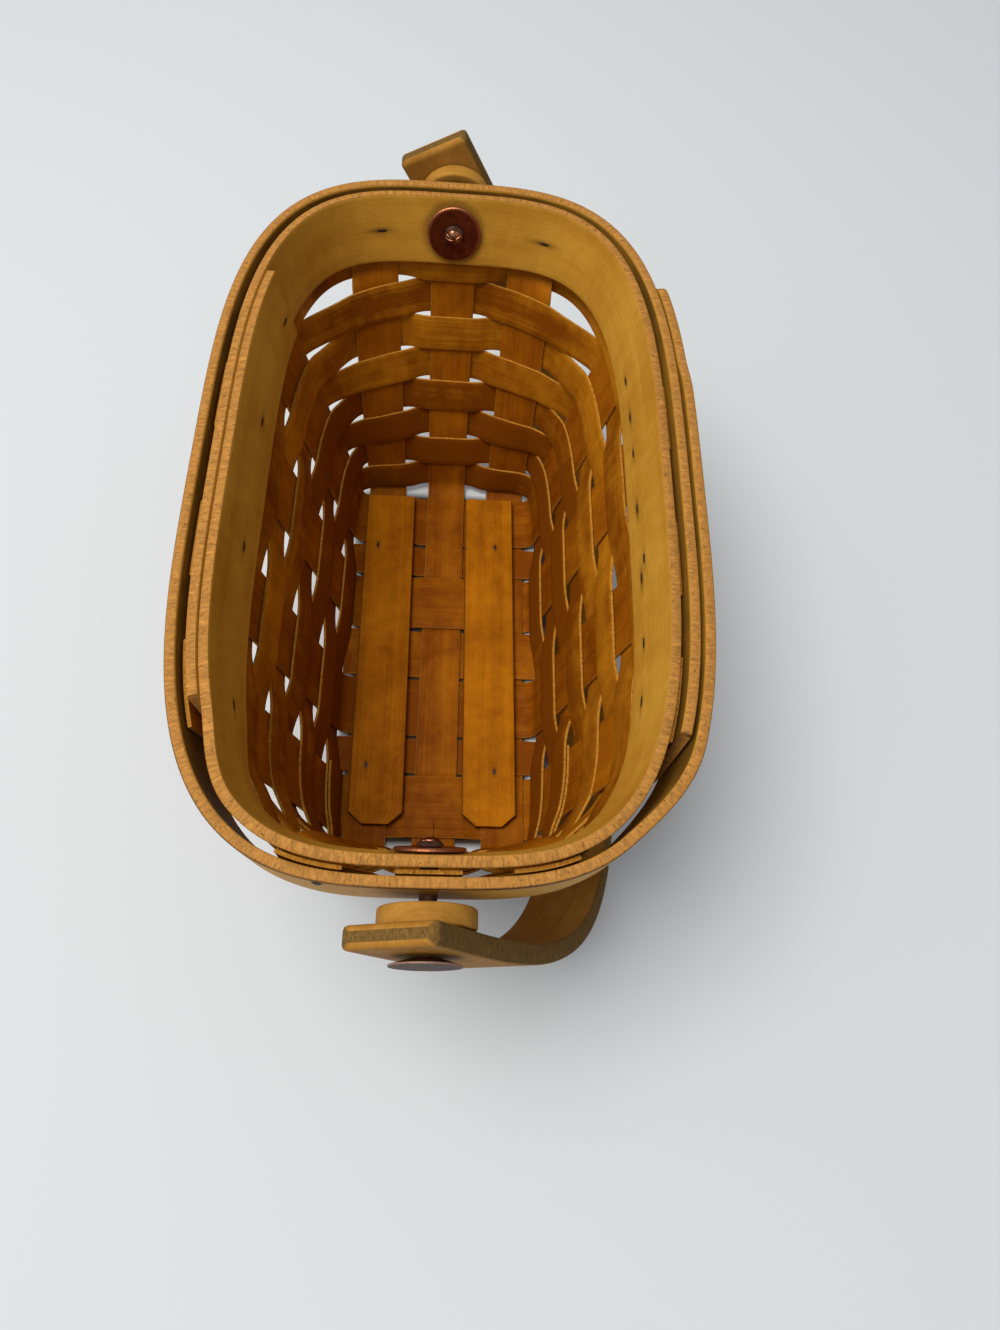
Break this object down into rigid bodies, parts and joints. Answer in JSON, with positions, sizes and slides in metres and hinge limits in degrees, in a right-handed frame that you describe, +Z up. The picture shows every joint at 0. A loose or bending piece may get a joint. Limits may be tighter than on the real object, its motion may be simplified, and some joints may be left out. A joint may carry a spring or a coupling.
{
  "type": "splint basket",
  "caption": "Flared rectangular basket woven from flat maple splints, with lapped rim bands, floor boards and a bent-wood handle that swings on copper rivets.",
  "frame": {"origin": "the surface that the basket stands on, under the middle of its floor", "axes": "+Z up, Y along the basket towards its far end, X across it towards the side on which the handle lies down"},
  "size_m": [0.1418, 0.26, 0.1331],
  "materials": {
    "stake_maple": "oiled",
    "weaver_maple": "oiled",
    "board_maple": "oiled",
    "band_maple": "oiled",
    "handle_maple": "oiled",
    "disc_maple": "oiled",
    "copper": "aged copper"
  },
  "bodies": {
    "basket": {"long_stake_left": "stake_maple", "long_stake_centre": "stake_maple", "long_stake_right": "stake_maple", "cross_stake_1": "stake_maple", "cross_stake_2": "stake_maple", "cross_stake_3": "stake_maple", "cross_stake_4": "stake_maple", "floor_filler_1": "stake_maple", "floor_filler_2": "stake_maple", "floor_filler_3": "stake_maple", "floor_board_left": "board_maple", "floor_board_right": "board_maple", "weaver_1": "weaver_maple", "weaver_2": "weaver_maple", "weaver_3": "weaver_maple", "weaver_4": "weaver_maple", "weaver_5": "weaver_maple", "weaver_6": "weaver_maple", "weaver_7": "weaver_maple", "weaver_8": "weaver_maple", "inner_band": "band_maple", "outer_band": "band_maple", "spacer_disc_far": "disc_maple", "spacer_disc_near": "disc_maple", "handle_rivet_far": "copper", "handle_rivet_near": "copper", "rivet_washer_far": "copper", "rivet_washer_near": "copper"},
    "handle": {"swing_handle": "handle_maple"}
  },
  "joints": [
    {"name": "handle_swing", "type": "hinge", "parent": "basket", "child": "handle", "pos_m": [0, 0, 0.112], "axis": [0, 1, 0], "range_deg": [-302.6, 0]}
  ]
}
